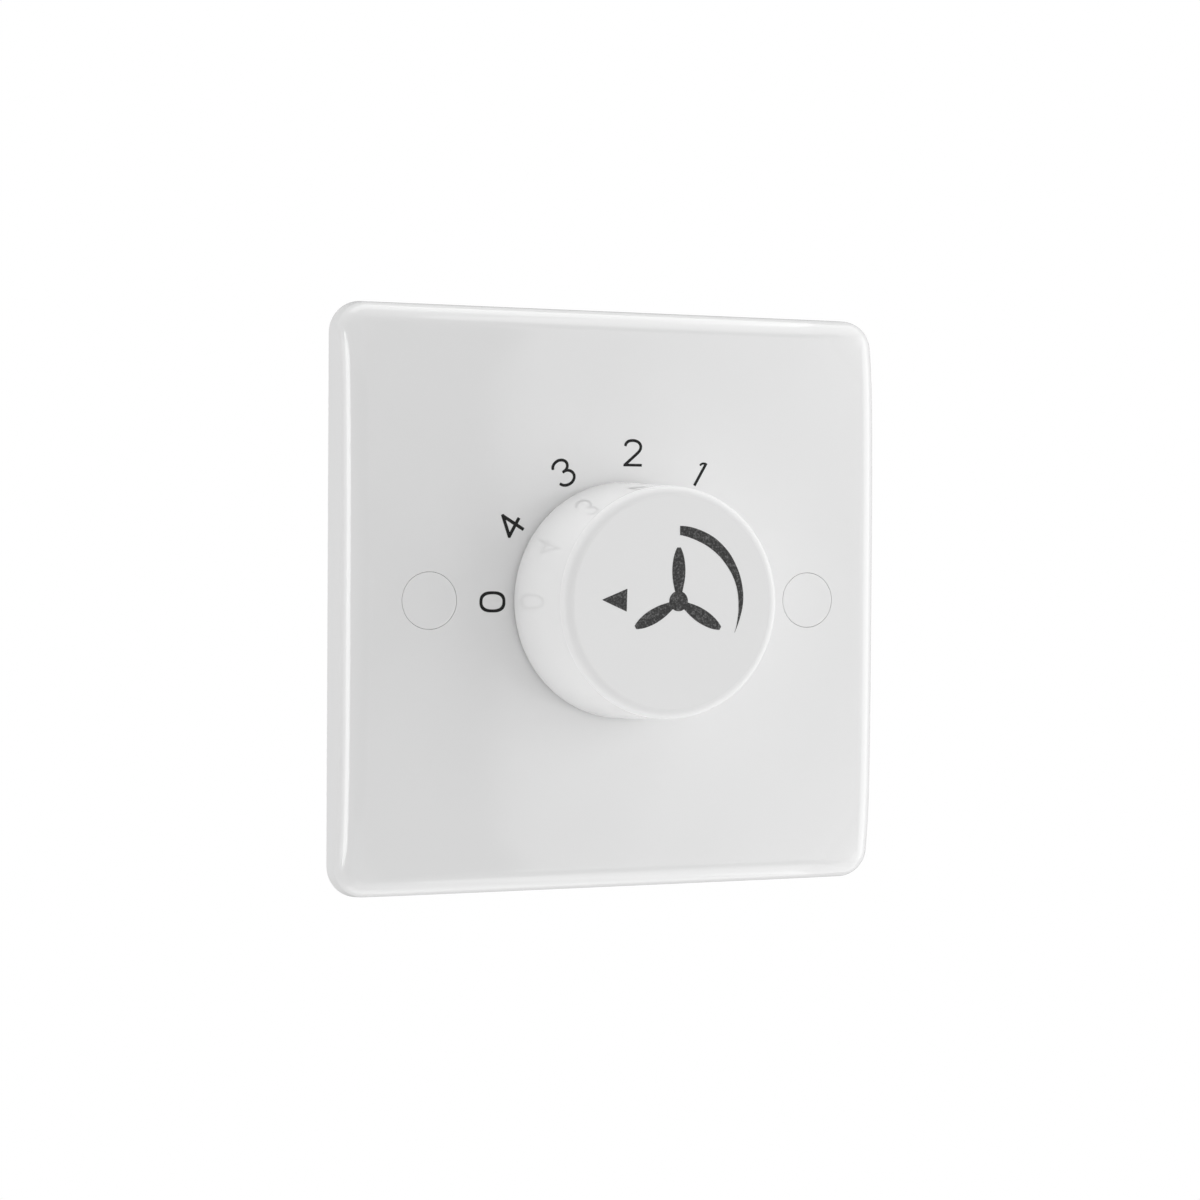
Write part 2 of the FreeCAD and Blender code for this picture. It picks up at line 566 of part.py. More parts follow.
def make_board():
    b = rprism(21.8, 26.8, 1.0, board_y0, board_y1)
    for x, z, r in LEADS:
        b = b.cut(cyl(r + 0.1, board_y0 - 1, board_y1 + 1, x, z))
    for a in CONTACT_ANGLES + (-60.0,):
        b = b.cut(tag(a, 0.04))
    return b.removeSplitter()


# ---------------------------------------------------------------- rear enclosure
POSTS = [(sx * 19.3, sz * 24.3) for sx in (-1, 1) for sz in (-1, 1)]


def make_case():
    c = rprism(case_hx, case_hz, 2.5, case_front_y, case_rear_y)
    rear = [e for e in c.Edges if abs(e.BoundBox.YMin - case_rear_y) < 1e-6 and abs(e.BoundBox.YMax - case_rear_y) < 1e-6]
    c = c.makeFillet(1.2, rear)
    lug = rprism(18.5, 35.6, 2.5, case_front_y, case_front_y + 2.0)
    c = c.fuse(lug)
    c = c.cut(rprism(case_hx - case_t, case_hz - case_t, 1.2, case_front_y - 1, case_rear_y - case_t))
    # posts that the board rests on
    for x, z in POSTS:
        p = cyl(2.1, board_y1, case_rear_y - case_t + 0.2, x, z)
        web = box(min(x, math.copysign(22.6, x)), max(x, math.copysign(22.6, x)), board_y1, case_rear_y - case_t + 0.2, z - 0.6, z + 0.6)
        c = c.fuse(p).fuse(web)
    # screw holes in the flange, with a shallow spot face
    for sx in (-1, 1):
        for sz in (-1, 1):
            c = c.cut(cyl(1.6, -3, 3, sx * case_screw_x, sz * case_screw_z))
    # notch for the terminal block
    c = c.cut(box(-TB_X - 0.1, TB_X + 0.1, board_y1 - 0.1, case_rear_y + 1, TB_Z0 - 1, TB_Z1 + 0.1))
    # ventilation slots in both sides and the top
    for k in range(7):
        z = -4.0 + 4.0 * k
        for sx in (-1, 1):
            x0, x1 = sorted((sx * 21.5, sx * 25.0))
            c = c.cut(box(x0, x1, 12.6, 22.0, z - 0.7, z + 0.7))
    for k in range(7):
        x = -12.0 + 4.0 * k
        c = c.cut(box(x - 0.7, x + 0.7, 12.6, 22.0, 26.0, 30.0))
    return c.removeSplitter()


def make_case_screws():
    out = []
    for sx in (-1, 1):
        for sz in (-1, 1):
            x, z = sx * case_screw_x, sz * case_screw_z
            s = cyl(1.45, -5.0, 1.1, x, z).fuse(cone(0.5, 1.45, -5.8, -5.0, x, z))
            head = cyl(2.7, 1.0, 2.9, x, z)
            top = [e for e in head.Edges if abs(e.BoundBox.YMin - 2.9) < 1e-6 and abs(e.BoundBox.YMax - 2.9) < 1e-6]
            head = head.makeFillet(0.8, top)
            s = s.fuse(head)
            s = s.cut(box(x - 1.6, x + 1.6, 1.9, 3.5, z - 0.3, z + 0.3)).cut(box(x - 0.3, x + 0.3, 1.9, 3.5, z - 1.6, z + 1.6))
            out.append(s.removeSplitter())
    return Part.makeCompound(out)


# ---------------------------------------------------------------- write the pieces
save("face_plate", make_face_plate())
save("screw_cap_left", make_cap(-fix_x))
save("screw_cap_right", make_cap(fix_x))
save("fixing_screws", Part.makeCompound([make_fixing_screw(-fix_x), make_fixing_screw(fix_x)]))
save("control_knob", make_knob())
save("knob_spring_clip", make_knob_clip())
save("spindle", make_spindle())
save("spindle_circlip", make_circlip())
save("switch_bushing", make_bushing())
save("spindle_nut", make_nut())
save("lock_washer", make_washer())
save("switch_body", make_switch_body())
save("switch_screws", make_switch_screws())
save("detent_rotor", make_rotor())
save("detent_spring", make_detent_spring())
save("wiper_contact", make_wiper())
save("fixed_contacts", make_contacts())
save("switch_wafer", make_wafer())
save("capacitor_large", make_box_capacitor(-16.9, 16.9, 13.2, 26.2, 23.9, 27.5))
save("capacitor_small", make_box_capacitor(-16.9, 9.1, 1.4, 12.2, 22.6, 22.5))
save("surge_resistor", make_cement_resistor())
save("thermal_fuse", make_axial(12.3, -3.4, 9.0, 1.95, 14.5, 0.35, False))
save("bleed_resistors", Part.makeCompound([make_axial(-10.2, -11.4, 8.6, 1.6, 12.7, 0.3, True), make_axial(6.6, -11.4, 8.6, 1.6, 12.7, 0.3, True)]))
save("terminal_block", make_terminal_block())
save("terminal_clamps", make_clamps())
save("terminal_screws", make_terminal_screws())
save("circuit_board", make_board())
save("module_case", make_case())
save("case_screws", make_case_screws())
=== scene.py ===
import bpy
import bmesh
import math
from mathutils import Matrix, Vector


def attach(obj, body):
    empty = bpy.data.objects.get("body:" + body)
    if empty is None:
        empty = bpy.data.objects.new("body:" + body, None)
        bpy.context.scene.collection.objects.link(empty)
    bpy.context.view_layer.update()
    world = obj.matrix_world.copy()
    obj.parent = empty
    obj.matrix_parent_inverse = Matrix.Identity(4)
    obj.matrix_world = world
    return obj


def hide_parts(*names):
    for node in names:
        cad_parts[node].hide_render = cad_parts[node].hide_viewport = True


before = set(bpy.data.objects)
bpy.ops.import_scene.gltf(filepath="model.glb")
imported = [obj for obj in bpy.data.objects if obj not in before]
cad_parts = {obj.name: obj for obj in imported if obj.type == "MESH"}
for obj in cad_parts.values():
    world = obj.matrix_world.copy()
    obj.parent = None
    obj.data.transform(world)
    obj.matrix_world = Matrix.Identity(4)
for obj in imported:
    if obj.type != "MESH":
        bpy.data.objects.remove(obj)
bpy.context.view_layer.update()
MM = 0.001

# ---------------------------------------------------------------- sizes, in millimetres
DRAFT = 0.1039
COS_D = 1.0 / math.sqrt(1.0 + DRAFT * DRAFT)
SIN_D = DRAFT * COS_D
FACE_Y = -7.55
R1, BIG = 38.5, 150.0
R2, SMALL = 49.0, 30.0
FIX_X = 30.15
KNOB_FACE = -25.37


# ---------------------------------------------------------------- mesh helpers
def to_object(name, bm):
    bmesh.ops.recalc_face_normals(bm, faces=bm.faces)
    me = bpy.data.meshes.new(name)
    bm.to_mesh(me)
    bm.free()
    ob = bpy.data.objects.new(name, me)
    bpy.context.scene.collection.objects.link(ob)
    return ob


def rings_to_bm(rings, bm=None, caps=(True, True)):
    """A skin over equal rings of (x, y, z) in mm; the ends are closed with one face each."""
    bm = bm or bmesh.new()
    loops = [[bm.verts.new(Vector(p) * MM) for p in ring] for ring in rings]
    n = len(loops[0])
    for a, b in zip(loops, loops[1:]):
        for i in range(n):
            j = (i + 1) % n
            bm.faces.new((a[i], a[j], b[j], b[i]))
    if caps[0]:
        bm.faces.new(list(reversed(loops[0])))
    if caps[1]:
        bm.faces.new(loops[-1])
    return bm


def turned(profile, seg, x=0.0, z=0.0, bm=None):
    """A solid turned about Y: profile is (radius, y) from one end on the axis to the other."""
    bm = bm or bmesh.new()
    loops = []
    for r, y in profile:
        if r < 1e-6:
            loops.append([bm.verts.new(Vector((x, y, z)) * MM)])
        else:
            loops.append([bm.verts.new(Vector((x + r * math.cos(2 * math.pi * k / seg), y, z + r * math.sin(2 * math.pi * k / seg))) * MM) for k in range(seg)])
    for a, b in zip(loops, loops[1:]):
        for i in range(seg):
            j = (i + 1) % seg
            if len(a) == 1 and len(b) == 1:
                continue
            if len(a) == 1:
                bm.faces.new((a[0], b[j], b[i]))
            elif len(b) == 1:
                bm.faces.new((a[i], a[j], b[0]))
            else:
                bm.faces.new((a[i], a[j], b[j], b[i]))
    return bm


def block(x0, x1, y0, y1, z0, z1, bm=None, turn=0.0):
    bm = bm or bmesh.new()
    c, s = math.cos(turn), math.sin(turn)
    vs = []
    for y in (y0, y1):
        for x, z in ((x0, z0), (x1, z0), (x1, z1), (x0, z1)):
            vs.append(bm.verts.new(Vector((x * c - z * s, y, x * s + z * c)) * MM))
    bm.faces.new(vs[0:4][::-1])
    bm.faces.new(vs[4:8])
    for i in range(4):
        j = (i + 1) % 4
        bm.faces.new((vs[i], vs[j], vs[4 + j], vs[4 + i]))
    return bm


def arc(cx, cy, r, a0, a1, n):
    """(radius, y) points of an arc, angles in degrees."""
    return [(cx + r * math.cos(math.radians(a0 + (a1 - a0) * k / n)), cy + r * math.sin(math.radians(a0 + (a1 - a0) * k / n))) for k in range(n + 1)]


def boolean(ob, other, op, own=False):
    m = ob.modifiers.new("cut", "BOOLEAN")
    m.operation = op
    m.solver = "EXACT"
    m.use_self = own
    m.object = other
    dg = bpy.context.evaluated_depsgraph_get()
    me = bpy.data.meshes.new_from_object(ob.evaluated_get(dg), depsgraph=dg)
    ob.modifiers.clear()
    old = ob.data
    ob.data = me
    bpy.data.meshes.remove(old)
    if other is not None:
        gone = other.data
        bpy.data.objects.remove(other)
        bpy.data.meshes.remove(gone)
    return ob


def finish_shading(ob, angle=30.0, weighted=True):
    me = ob.data
    me.shade_smooth()
    me.set_sharp_from_angle(angle=math.radians(angle))
    if weighted:
        m = ob.modifiers.new("weighted", "WEIGHTED_NORMAL")
        m.mode = "FACE_AREA"
        m.weight = 60
        m.keep_sharp = True
        dg = bpy.context.evaluated_depsgraph_get()
        new = bpy.data.meshes.new_from_object(ob.evaluated_get(dg), depsgraph=dg)
        ob.modifiers.clear()
        ob.data = new
        bpy.data.meshes.remove(me)
    return ob


def place(ob, body, material, replaces=()):
    ob.data.materials.clear()
    ob.data.materials.append(material)
    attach(ob, body)
    if replaces:
        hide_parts(*replaces)
    return ob


# ---------------------------------------------------------------- materials
def new_material(name):
    m = bpy.data.materials.new(name)
    m.use_nodes = True
    nt = m.node_tree
    bsdf = next(n for n in nt.nodes if n.type == "BSDF_PRINCIPLED")
    tc = nt.nodes.new("ShaderNodeTexCoord")
    return m, nt, bsdf, tc


def noise(nt, tc, scale, detail=3.0, rough=0.5, stretch=None):
    n = nt.nodes.new("ShaderNodeTexNoise")
    n.inputs["Scale"].default_value = scale
    n.inputs["Detail"].default_value = detail
    n.inputs["Roughness"].default_value = rough
    if stretch:
        mp = nt.nodes.new("ShaderNodeMapping")
        mp.inputs["Scale"].default_value = stretch
        nt.links.new(tc.outputs["Object"], mp.inputs["Vector"])
        nt.links.new(mp.outputs["Vector"], n.inputs["Vector"])
    else:
        nt.links.new(tc.outputs["Object"], n.inputs["Vector"])
    return n


def ramp(nt, source, stops):
    r = nt.nodes.new("ShaderNodeValToRGB")
    r.color_ramp.elements[0].position = stops[0][0]
    r.color_ramp.elements[0].color = (*stops[0][1], 1)
    r.color_ramp.elements[1].position = stops[-1][0]
    r.color_ramp.elements[1].color = (*stops[-1][1], 1)
    for p, c in stops[1:-1]:
        e = r.color_ramp.elements.new(p)
        e.color = (*c, 1)
    nt.links.new(source, r.inputs["Fac"])
    return r


def span(nt, source, lo, hi, a=0.3, b=0.7):
    mr = nt.nodes.new("ShaderNodeMapRange")
    mr.inputs["From Min"].default_value = a
    mr.inputs["From Max"].default_value = b
    mr.inputs["To Min"].default_value = lo
    mr.inputs["To Max"].default_value = hi
    nt.links.new(source, mr.inputs["Value"])
    return mr


def bump(nt, bsdf, source, strength, distance, before=None):
    b = nt.nodes.new("ShaderNodeBump")
    b.inputs["Strength"].default_value = strength
    b.inputs["Distance"].default_value = distance
    nt.links.new(source, b.inputs["Height"])
    if before is not None:
        nt.links.new(before.outputs["Normal"], b.inputs["Normal"])
    nt.links.new(b.outputs["Normal"], bsdf.inputs["Normal"])
    return b


def shade(c, k):
    return tuple(min(1.0, v * k) for v in c)


def plastic(name, colour, rough=(0.2, 0.28), vary=0.015, grain=1400.0, grain_mm=0.0012, peel=180.0, peel_mm=0.0015, ior=1.5):
    """Moulded plastic: a faint drift of tone, uneven gloss, fine grain and a slow orange peel."""
    m, nt, bsdf, tc = new_material(name)
    drift = noise(nt, tc, 55.0, 2.0)
    r = ramp(nt, drift.outputs["Fac"], [(0.3, shade(colour, 1 - vary)), (0.7, shade(colour, 1 + vary))])
    nt.links.new(r.outputs["Color"], bsdf.inputs["Base Color"])
    gloss = noise(nt, tc, 320.0, 4.0)
    nt.links.new(span(nt, gloss.outputs["Fac"], rough[0], rough[1]).outputs["Result"], bsdf.inputs["Roughness"])
    bsdf.inputs["IOR"].default_value = ior
    b = bump(nt, bsdf, noise(nt, tc, peel, 1.0).outputs["Fac"], 1.0, peel_mm * MM)
    bump(nt, bsdf, noise(nt, tc, grain, 2.0, 0.6).outputs["Fac"], 1.0, grain_mm * MM, b)
    return m


def metal(name, colour, rough=(0.25, 0.4), grain=2200.0, grain_mm=0.002, tarnish=0.08, stretch=None):
    m, nt, bsdf, tc = new_material(name)
    drift = noise(nt, tc, 260.0, 5.0, 0.6)
    r = ramp(nt, drift.outputs["Fac"], [(0.3, shade(colour, 1 - tarnish)), (0.55, colour), (0.75, shade(colour, 1 + tarnish * 0.5))])
    nt.links.new(r.outputs["Color"], bsdf.inputs["Base Color"])
    bsdf.inputs["Metallic"].default_value = 1.0
    wear = noise(nt, tc, 700.0, 4.0, 0.6, stretch)
    nt.links.new(span(nt, wear.outputs["Fac"], rough[0], rough[1]).outputs["Result"], bsdf.inputs["Roughness"])
    bump(nt, bsdf, noise(nt, tc, grain, 3.0, 0.6, stretch).outputs["Fac"], 0.8, grain_mm * MM)
    return m


def mottled(name, low, high, scale, rough=(0.35, 0.55), grain=1800.0, grain_mm=0.004, detail=6.0):
    m, nt, bsdf, tc = new_material(name)
    a = noise(nt, tc, scale, detail, 0.65)
    r = ramp(nt, a.outputs["Fac"], [(0.32, low), (0.68, high)])
    nt.links.new(r.outputs["Color"], bsdf.inputs["Base Color"])
    nt.links.new(span(nt, a.outputs["Fac"], rough[0], rough[1]).outputs["Result"], bsdf.inputs["Roughness"])
    bump(nt, bsdf, noise(nt, tc, grain, 4.0, 0.6).outputs["Fac"], 0.8, grain_mm * MM)
    return m


def ink(name, dark, speck, amount, grain=5200.0, rough=(0.38, 0.5), ior=1.5):
    """Screen-printed ink: nearly solid, with pinholes where it missed the grain below."""
    m, nt, bsdf, tc = new_material(name)
    a = noise(nt, tc, grain, 2.0, 0.55)
    r = ramp(nt, a.outputs["Fac"], [(0.34, shade(dark, 0.4)), (0.45, shade(dark, 0.75)), (0.53, shade(dark, 1.35)), (0.60, shade(dark, 2.2)), (0.76 - amount * 0.2, speck)])
    nt.links.new(r.outputs["Color"], bsdf.inputs["Base Color"])
    nt.links.new(span(nt, a.outputs["Fac"], rough[0], rough[1]).outputs["Result"], bsdf.inputs["Roughness"])
    bsdf.inputs["IOR"].default_value = ior
    bump(nt, bsdf, a.outputs["Fac"], 1.0, 0.045 * MM)
    return m


M = {
    "plate_white": plastic("plate_white", (0.87, 0.87, 0.87), rough=(0.065, 0.095), vary=0.006, grain_mm=0.0006, peel_mm=0.0006, ior=1.56),
    "cap_white": plastic("cap_white", (0.87, 0.87, 0.87), rough=(0.07, 0.10), vary=0.006, grain_mm=0.0006, peel_mm=0.0006),
    "knob_white": plastic("knob_white", (0.87, 0.87, 0.87), rough=(0.05, 0.08), vary=0.006, grain=1700.0, grain_mm=0.0004, peel_mm=0.0004),
    "zinc_steel": metal("zinc_steel", (0.60, 0.61, 0.60), rough=(0.22, 0.36)),
    "spring_steel": metal("spring_steel", (0.42, 0.42, 0.43), rough=(0.2, 0.3), stretch=(1.0, 6.0, 1.0)),
    "brass": metal("brass", (0.74, 0.55, 0.24), rough=(0.2, 0.34), tarnish=0.12),
    "bronze": metal("bronze", (0.70, 0.42, 0.24), rough=(0.22, 0.34), tarnish=0.12),
    "shaft_nylon": plastic("shaft_nylon", (0.72, 0.70, 0.64), rough=(0.38, 0.5), grain_mm=0.003),
    "switch_black": plastic("switch_black", (0.035, 0.034, 0.033), rough=(0.34, 0.46), vary=0.12, grain_mm=0.004),
    "wafer_brown": mottled("wafer_brown", (0.17, 0.085, 0.035), (0.26, 0.14, 0.06), 420.0),
    "board_tan": mottled("board_tan", (0.36, 0.24, 0.11), (0.46, 0.32, 0.16), 300.0),
    "film_yellow": plastic("film_yellow", (0.62, 0.42, 0.09), rough=(0.22, 0.34), vary=0.04),
    "cement_white": mottled("cement_white", (0.55, 0.54, 0.50), (0.68, 0.67, 0.63), 900.0, rough=(0.65, 0.85), grain=1500.0, grain_mm=0.02),
    "fuse_metal": metal("fuse_metal", (0.55, 0.52, 0.47), rough=(0.25, 0.4)),
    "terminal_grey": plastic("terminal_grey", (0.30, 0.31, 0.32), rough=(0.36, 0.48), vary=0.04, grain_mm=0.004),
    "case_ivory": plastic("case_ivory", (0.20, 0.20, 0.205), rough=(0.38, 0.52), vary=0.06, grain=900.0, grain_mm=0.006),
    "dial_ink": ink("dial_ink", (0.008, 0.008, 0.008), (0.026, 0.026, 0.026), 0.1, ior=1.34),
    "knob_ink": ink("knob_ink", (0.034, 0.034, 0.034), (0.14, 0.14, 0.14), 0.4, grain=3800.0, ior=1.46),
}


def dull_rim(m, face, r_in, r_out, depth, dull):
    """The rim between the knob's face and side has a duller finish than either."""
    nt = m.node_tree
    bsdf = next(n for n in nt.nodes if n.type == "BSDF_PRINCIPLED")
    tc = next(n for n in nt.nodes if n.type == "TEX_COORD")
    gloss = bsdf.inputs["Roughness"].links[0].from_socket
    sep = nt.nodes.new("ShaderNodeSeparateXYZ")
    nt.links.new(tc.outputs["Object"], sep.inputs["Vector"])
    flat = nt.nodes.new("ShaderNodeCombineXYZ")
    nt.links.new(sep.outputs["X"], flat.inputs["X"])
    nt.links.new(sep.outputs["Z"], flat.inputs["Z"])
    reach = nt.nodes.new("ShaderNodeVectorMath")
    reach.operation = "LENGTH"
    nt.links.new(flat.outputs["Vector"], reach.inputs[0])
    out = span(nt, reach.outputs["Value"], 0.0, 1.0, r_in * MM, r_out * MM)
    near = span(nt, sep.outputs["Y"], 1.0, 0.0, (face + depth * 0.6) * MM, (face + depth) * MM)
    both = nt.nodes.new("ShaderNodeMath")
    both.operation = "MULTIPLY"
    nt.links.new(out.outputs["Result"], both.inputs[0])
    nt.links.new(near.outputs["Result"], both.inputs[1])
    add = nt.nodes.new("ShaderNodeMath")
    add.operation = "MULTIPLY_ADD"
    add.inputs[1].default_value = dull
    nt.links.new(both.outputs[0], add.inputs[0])
    nt.links.new(gloss, add.inputs[2])
    nt.links.new(add.outputs[0], bsdf.inputs["Roughness"])


dull_rim(M["knob_white"], KNOB_FACE, 14.9, 15.5, 2.0, 0.48)


def banded():
    """Axial resistor: tan body with its colour rings and tinned leads."""
    m, nt, bsdf, tc = new_material("resistor_tan")
    sep = nt.nodes.new("ShaderNodeSeparateXYZ")
    nt.links.new(tc.outputs["Object"], sep.inputs["Vector"])
    # fold the two resistors onto one: distance along X from each one's own middle
    side = nt.nodes.new("ShaderNodeMath")
    side.operation = "GREATER_THAN"
    side.inputs[1].default_value = -1.8 * MM
    nt.links.new(sep.outputs["X"], side.inputs[0])
    shift = nt.nodes.new("ShaderNodeMath")
    shift.operation = "MULTIPLY_ADD"
    shift.inputs[1].default_value = -16.8 * MM
    shift.inputs[2].default_value = 10.2 * MM
    nt.links.new(side.outputs[0], shift.inputs[0])
    along = nt.nodes.new("ShaderNodeMath")
    along.operation = "ADD"
    nt.links.new(sep.outputs["X"], along.inputs[0])
    nt.links.new(shift.outputs[0], along.inputs[1])
    pos = span(nt, along.outputs[0], 0.0, 1.0, -5.0 * MM, 5.0 * MM)
    r = nt.nodes.new("ShaderNodeValToRGB")
    cr = r.color_ramp
    cr.interpolation = "CONSTANT"
    tan, tin = (0.60, 0.44, 0.26), (0.66, 0.66, 0.64)
    cols = [(0.0, tin), (0.07, tan), (0.20, (0.16, 0.06, 0.02)), (0.27, tan), (0.36, (0.02, 0.02, 0.02)), (0.43, tan), (0.52, (0.62, 0.50, 0.03)), (0.59, tan), (0.72, (0.48, 0.33, 0.08)), (0.79, tan), (0.93, tin)]
    cr.elements[0].position, cr.elements[0].color = cols[0][0], (*cols[0][1], 1)
    cr.elements[1].position, cr.elements[1].color = cols[-1][0], (*cols[-1][1], 1)
    for p, c in cols[1:-1]:
        e = cr.elements.new(p)
        e.color = (*c, 1)
    nt.links.new(pos.outputs["Result"], r.inputs["Fac"])
    nt.links.new(r.outputs["Color"], bsdf.inputs["Base Color"])
    g = noise(nt, tc, 900.0, 3.0)
    nt.links.new(span(nt, g.outputs["Fac"], 0.3, 0.45).outputs["Result"], bsdf.inputs["Roughness"])
    bump(nt, bsdf, g.outputs["Fac"], 0.7, 0.01 * MM)
    return m


M["resistor_tan"] = banded()

# ---------------------------------------------------------------- camera, as in the picture
YAW, PITCH, ROLL = math.radians(22.51), math.radians(1.06), math.radians(0.36)
rz = Matrix.Rotation(YAW, 3, "Z")
rx = Matrix.Rotation(PITCH, 3, "X")
ry = Matrix.Rotation(ROLL, 3, "Y")
rows = ry @ rx @ rz
shift_v = Vector((0.60, 408.9, 0.10)) * MM
cam_data = bpy.data.cameras.new("camera")
cam_data.sensor_width = 36.0
cam_data.lens = 2733.0 / 1200.0 * 36.0
cam_data.clip_start = 0.01
cam_data.clip_end = 50.0
cam = bpy.data.objects.new("camera", cam_data)
bpy.context.scene.collection.objects.link(cam)
right, fwd, up = rows[0], rows[1], rows[2]
loc = -(rows.transposed() @ shift_v)
cam.matrix_world = Matrix((
    (right[0], up[0], -fwd[0], loc[0]),
    (right[1], up[1], -fwd[1], loc[1]),
    (right[2], up[2], -fwd[2], loc[2]),
    (0, 0, 0, 1),
))
bpy.context.scene.camera = cam


# ---------------------------------------------------------------- face plate
A0 = math.asin((R2 - R1) / BIG)
Y2 = FACE_Y + BIG * (1 - math.cos(A0))
CX = R2 - SMALL * math.sin(A0)
CY = Y2 + SMALL * math.cos(A0)


def front(r, drop=0.0, inset=0.0):
    """y and slope angle of the plate's front at radius r, moved back by drop, then offset into the plastic by inset."""
    if r <= R1:
        return FACE_Y + drop + inset, 0.0
    c1 = FACE_Y + BIG + drop
    if r <= R1 + (BIG - inset) * math.sin(A0):
        a = math.asin((r - R1) / (BIG - inset))
        return c1 - (BIG - inset) * math.cos(a), a
    a = math.asin(min(1.0, (r - CX) / (SMALL - inset)))
    return CY + drop - (SMALL - inset) * math.cos(a), a


def outline(half, side_n, corner_n):
    """Anchor points and outward normals round a square with round corners."""
    out = []
    for q in range(4):
        t = q * math.pi / 2
        c, s = math.cos(t), math.sin(t)
        for k in range(side_n):
            # denser near the corners, where the front turns down fastest
            f = -math.cos(math.pi * (k + 0.5) / side_n)
            x, z = half, half * (0.35 * f + 0.65 * (2 * (k + 0.5) / side_n - 1))
            out.append(((x * c - z * s, x * s + z * c), (c, s)))
        for k in range(corner_n + 1):
            a = t + (math.pi / 2) * k / corner_n
            out.append(((half * c - half * s, half * s + half * c), (math.cos(a), math.sin(a))))
    return out


def shell_rings(half, rho0, fillet, drop, inner_r, n_front, n_fillet, y_open, side_n, corner_n):
    """Rings of points from the flat middle of the face out over the rolled edge to the open side."""
    stations = outline(half, side_n, corner_n)
    cols = []
    for (ax, az), (nx, nz) in stations:
        y = FACE_Y + drop + fillet
        for _ in range(40):
            rho = rho0 + DRAFT * y - fillet / COS_D
            cx, cz = ax + rho * nx, az + rho * nz
            y, a = front(math.hypot(cx, cz), drop, fillet)
        rr = math.hypot(cx, cz)
        er = (cx / rr, cz / rr)
        nf = Vector((er[0] * math.sin(a), -math.cos(a), er[1] * math.sin(a)))
        nw = Vector((nx * COS_D, -SIN_D, nz * COS_D))
        c = Vector((cx, y, cz))
        pf = c + fillet * nf
        rf = math.hypot(pf.x, pf.z)
        col = []
        for k in range(n_front):
            r = inner_r + (rf - inner_r) * k / n_front
            col.append(Vector((er[0] * r, front(r, drop)[0], er[1] * r)))
        w = nf.angle(nw)
        for k in range(n_fillet + 1):
            t = k / n_fillet
            col.append(c + fillet * (math.sin((1 - t) * w) / math.sin(w) * nf + math.sin(t * w) / math.sin(w) * nw))
        y_end = col[-1].y
        for k in range(1, 4):
            yy = y_end + (y_open - y_end) * k / 3
            rho = rho0 + DRAFT * yy
            col.append(Vector((ax + rho * nx, yy, az + rho * nz)))
        cols.append(col)
    return [[cols[s][i] for s in range(len(cols))] for i in range(len(cols[0]))]


def make_plate():
    outer = shell_rings(38.3, 4.7, 3.7, 0.0, 36.0, 12, 18, 0.0, 44, 20)
    inner = shell_rings(37.7, 3.1, 1.6, 2.5, 35.5, 8, 8, 0.0, 44, 20)
    bm = bmesh.new()
    rings_to_bm(outer + inner[::-1], bm)
    plate = to_object("plate_shell", bm)

    feats = bmesh.new()
    for sx in (-1, 1):
        turned([(0, -5.3), (5.6, -5.3), (5.6, -1.25), (5.35, -1.0), (0, -1.0)], 72, sx * FIX_X, 0, feats)
        x0, x1 = sorted((sx * 34.5, sx * 41.2))
        block(x0, x1, -5.1, -1.6, -0.7, 0.7, feats)
        for sz in (-1, 1):
            z0, z1 = sorted((sz * 4.6, sz * 41.0))
            block(sx * FIX_X - 0.6, sx * FIX_X + 0.6, -5.1, -3.9, z0, z1, feats)
            turned([(0, -5.3), (3.0, -5.3), (3.0, -1.15), (2.85, -1.0), (0, -1.0)], 48, sx * 14.0, sz * 32.2, feats)
            z0, z1 = sorted((sz * 34.6, sz * 41.0))
            block(sx * 14.0 - 0.6, sx * 14.0 + 0.6, -5.12, -2.4, z0, z1, feats)
    for sz in (-1, 1):
        block(-41.0, 41.0, -5.08, -3.88, sz * 37.2 - 0.6, sz * 37.2 + 0.6, feats)
    boolean(plate, to_object("feats", feats), "UNION", own=True)

    cuts = bmesh.new()
    flare = arc(4.21, -7.49, 0.06, 262, 180, 6)
    for sx in (-1, 1):
        turned([(0, -8.0), (4.26, -8.0), (4.26, -7.5585)] + flare + [(4.15, -3.3), (3.35, -3.3), (2.05, -2.0), (2.05, 0.6), (0, 0.6)], 144, sx * FIX_X, 0, cuts)
        for sz in (-1, 1):
            turned([(0, -6.4), (1.47, -6.05), (1.47, 0.6), (0, 0.6)], 40, sx * 14.0, sz * 32.2, cuts)
    turned([(0, -8.0), (4.58, -8.0), (4.58, 0.6), (0, 0.6)], 96, 0, 0, cuts)
    turned([(0, -6.6), (1.3, -6.6), (1.3, 0.6), (0, 0.6)], 40, 0, -10.6, cuts)
    boolean(plate, to_object("cuts", cuts), "DIFFERENCE")
    finish_shading(plate, 32.0)
    return place(plate, "plate", M["plate_white"], ["face_plate"])


plate = make_plate()


